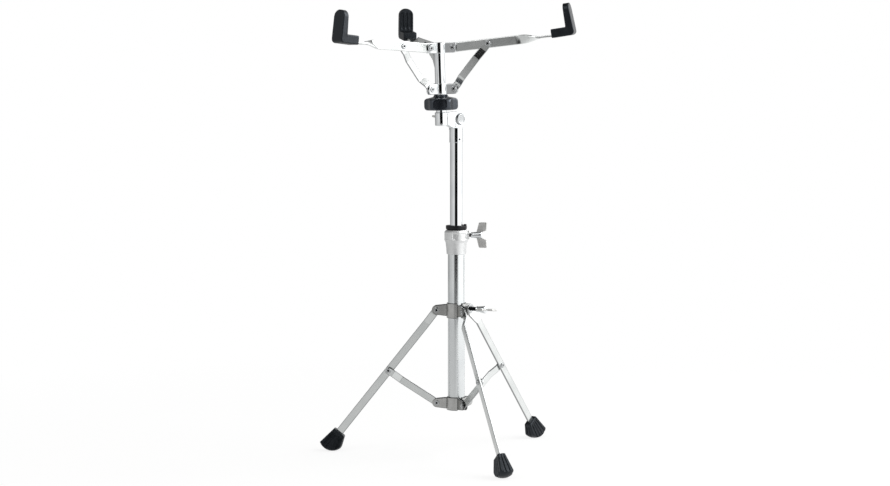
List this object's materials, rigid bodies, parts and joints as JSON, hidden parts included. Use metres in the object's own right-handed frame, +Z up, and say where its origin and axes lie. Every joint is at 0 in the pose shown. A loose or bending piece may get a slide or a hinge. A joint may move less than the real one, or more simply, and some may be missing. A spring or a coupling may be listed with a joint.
{
  "type": "snare drum stand",
  "caption": "Folding drum stand with a braced tripod, telescoping mast, offset tilter and a basket of hinged arms with rubber grips that hold a snare drum.",
  "frame": {"origin": "on the floor, under the centre of the whole stand's box; the mast stands 17 mm towards +X and 11.5 mm towards +Y from it", "axes": "+Z up along the mast, +X to the right and +Y away from the picture's viewer"},
  "size_m": [0.3825, 0.3756, 0.6745],
  "materials": {
    "chrome_tube": "polished chrome plate",
    "chrome_strap": "chrome plate on rolled strap",
    "chrome_casting": "chrome plate on a casting",
    "nickel_collar": "satin nickel plate",
    "cast_wing": "tumbled nickel plate",
    "plated_fastener": "bright zinc plate",
    "black_rubber": "moulded black rubber",
    "black_nylon": "moulded black nylon",
    "black_knob": "glossy black moulding"
  },
  "bodies": {
    "base": {"base_tube": "chrome_tube", "height_clamp": "chrome_casting", "brace_collar_plate_1": "nickel_collar", "brace_collar_plate_2": "nickel_collar", "brace_collar_plate_3": "nickel_collar", "brace_collar_rivets": "plated_fastener"},
    "leg_collar": {"leg_collar_plate_1": "nickel_collar", "leg_collar_plate_2": "nickel_collar", "leg_collar_plate_3": "nickel_collar", "leg_collar_rivets": "plated_fastener", "leg_collar_nut": "plated_fastener", "leg_wing_washer": "plated_fastener"},
    "leg_wing": {"leg_wing_bolt": "cast_wing"},
    "swivel": {"height_bushing": "black_nylon"},
    "upper_mast": {"upper_tube": "chrome_tube", "tilter_lower": "chrome_casting", "tilter_pin": "plated_fastener"},
    "height_wing": {"height_wing_bolt": "cast_wing"},
    "basket": {"tilter_upper": "chrome_casting", "tilter_bolt": "plated_fastener", "basket_post": "chrome_tube", "upper_hub": "chrome_casting", "upper_hub_rivets": "plated_fastener"},
    "tilt_wing": {"tilter_wing_nut": "cast_wing"},
    "basket_slider": {"lower_hub": "chrome_casting", "lower_hub_rivets": "plated_fastener"},
    "basket_knob": {"knob": "black_knob", "knob_insert": "plated_fastener"},
    "leg_1": {"leg_1": "chrome_strap", "foot_1": "black_rubber", "leg_rivet_1": "plated_fastener"},
    "brace_1": {"brace_1": "chrome_strap", "brace_rivet_1": "plated_fastener"},
    "arm_1": {"arm_1": "chrome_strap", "arm_rivet_1": "plated_fastener", "grip_1": "black_rubber"},
    "strut_1": {"strut_1": "chrome_strap", "strut_rivet_1": "plated_fastener"},
    "leg_2": {"leg_2": "chrome_strap", "foot_2": "black_rubber", "leg_rivet_2": "plated_fastener"},
    "brace_2": {"brace_2": "chrome_strap", "brace_rivet_2": "plated_fastener"},
    "arm_2": {"arm_2": "chrome_strap", "arm_rivet_2": "plated_fastener", "grip_2": "black_rubber"},
    "strut_2": {"strut_2": "chrome_strap", "strut_rivet_2": "plated_fastener"},
    "leg_3": {"leg_3": "chrome_strap", "foot_3": "black_rubber", "leg_rivet_3": "plated_fastener"},
    "brace_3": {"brace_3": "chrome_strap", "brace_rivet_3": "plated_fastener"},
    "arm_3": {"arm_3": "chrome_strap", "arm_rivet_3": "plated_fastener", "grip_3": "black_rubber"},
    "strut_3": {"strut_3": "chrome_strap", "strut_rivet_3": "plated_fastener"}
  },
  "joints": [
    {"name": "tripod_slide", "type": "slide", "parent": "base", "child": "leg_collar", "axis": [0, 0, 1], "range_m": [0, 0.0676]},
    {"name": "leg_wing_turn", "type": "hinge", "parent": "leg_collar", "child": "leg_wing", "pos_m": [0.03512, 0.03478, 0.2188], "axis": [0.7891, -0.6143, 0], "continuous": true},
    {"name": "mast_swivel", "type": "hinge", "parent": "base", "child": "swivel", "pos_m": [0.017, 0.0115, 0.3393], "axis": [0, 0, 1], "continuous": true},
    {"name": "height_slide", "type": "slide", "parent": "swivel", "child": "upper_mast", "axis": [0, 0, 1], "range_m": [-0.11, 0.08]},
    {"name": "height_wing_turn", "type": "hinge", "parent": "base", "child": "height_wing", "pos_m": [0.03892, 0.00958, 0.3318], "axis": [0.9962, -0.0872, 0], "continuous": true},
    {"name": "basket_tilt", "type": "hinge", "parent": "upper_mast", "child": "basket", "pos_m": [0.017, 0.0115, 0.5048], "axis": [0.6691, -0.7431, 0], "range_deg": [-60, 4]},
    {"name": "tilt_wing_turn", "type": "hinge", "parent": "basket", "child": "tilt_wing", "pos_m": [0.00696, 0.02265, 0.5048], "axis": [-0.6691, 0.7431, 0], "continuous": true},
    {"name": "basket_slide", "type": "slide", "parent": "basket", "child": "basket_slider", "axis": [-0.0311, -0.028, 0.9991], "range_m": [0, 0.02917]},
    {"name": "knob_turn", "type": "hinge", "parent": "basket_slider", "child": "basket_knob", "pos_m": [-0.00538, -0.00865, 0.51875], "axis": [-0.0311, -0.028, 0.9991], "continuous": true},
    {"name": "leg_1_fold", "type": "hinge", "parent": "leg_collar", "child": "leg_1", "pos_m": [0.03512, 0.03478, 0.2188], "axis": [-0.7891, 0.6143, 0], "range_deg": [-0.02, 36.42]},
    {"name": "brace_1_fold", "type": "hinge", "parent": "base", "child": "brace_1", "pos_m": [0.035, 0.03462, 0.0782], "axis": [0.7891, -0.6143, 0], "range_deg": [-0.02, 55.43]},
    {"name": "arm_1_fold", "type": "hinge", "parent": "basket", "child": "arm_1", "pos_m": [0.01164, -0.01628, 0.61045], "axis": [-0.2465, -0.9685, -0.0348], "range_deg": [-0.02, 67.62]},
    {"name": "strut_1_fold", "type": "hinge", "parent": "basket_slider", "child": "strut_1", "pos_m": [0.01352, -0.01458, 0.55], "axis": [-0.2465, -0.9685, -0.0348], "range_deg": [-0.02, 28.58]},
    {"name": "leg_2_fold", "type": "hinge", "parent": "leg_collar", "child": "leg_2", "pos_m": [-0.01222, 0.01555, 0.2188], "axis": [-0.1374, -0.9905, 0], "range_deg": [-0.02, 36.42]},
    {"name": "brace_2_fold", "type": "hinge", "parent": "base", "child": "brace_2", "pos_m": [-0.01202, 0.01553, 0.0782], "axis": [0.1374, 0.9905, 0], "range_deg": [-0.02, 55.43]},
    {"name": "arm_2_fold", "type": "hinge", "parent": "basket", "child": "arm_2", "pos_m": [-0.01377, 0.00852, 0.61035], "axis": [0.9621, 0.2701, 0.0375], "range_deg": [-0.02, 67.62]},
    {"name": "strut_2_fold", "type": "hinge", "parent": "basket_slider", "child": "strut_2", "pos_m": [-0.01189, 0.01022, 0.5499], "axis": [0.9621, 0.2701, 0.0375], "range_deg": [-0.02, 28.58]},
    {"name": "leg_3_fold", "type": "hinge", "parent": "leg_collar", "child": "leg_3", "pos_m": [0.0281, -0.01583, 0.2188], "axis": [0.9265, 0.3762, 0], "range_deg": [-0.02, 36.42]},
    {"name": "brace_3_fold", "type": "hinge", "parent": "base", "child": "brace_3", "pos_m": [0.02802, -0.01565, 0.0782], "axis": [-0.9265, -0.3762, 0], "range_deg": [-0.02, 55.43]},
    {"name": "arm_3_fold", "type": "hinge", "parent": "basket", "child": "arm_3", "pos_m": [-0.02252, -0.02587, 0.60911], "axis": [-0.7157, 0.6985, -0.0027], "range_deg": [-0.02, 67.62]},
    {"name": "strut_3_fold", "type": "hinge", "parent": "basket_slider", "child": "strut_3", "pos_m": [-0.02064, -0.02417, 0.54867], "axis": [-0.7157, 0.6985, -0.0027], "range_deg": [-0.02, 28.58]}
  ],
  "couplings": [
    {"joint": "leg_1_fold", "follows": "tripod_slide", "rad_per_m": 9.3974},
    {"joint": "brace_1_fold", "follows": "tripod_slide", "rad_per_m": 14.306},
    {"joint": "arm_1_fold", "follows": "basket_slide", "rad_per_m": 40.446},
    {"joint": "strut_1_fold", "follows": "basket_slide", "rad_per_m": 17.086},
    {"joint": "leg_2_fold", "follows": "tripod_slide", "rad_per_m": 9.3974},
    {"joint": "brace_2_fold", "follows": "tripod_slide", "rad_per_m": 14.306},
    {"joint": "arm_2_fold", "follows": "basket_slide", "rad_per_m": 40.446},
    {"joint": "strut_2_fold", "follows": "basket_slide", "rad_per_m": 17.086},
    {"joint": "leg_3_fold", "follows": "tripod_slide", "rad_per_m": 9.3974},
    {"joint": "brace_3_fold", "follows": "tripod_slide", "rad_per_m": 14.306},
    {"joint": "arm_3_fold", "follows": "basket_slide", "rad_per_m": 40.446},
    {"joint": "strut_3_fold", "follows": "basket_slide", "rad_per_m": 17.086}
  ]
}
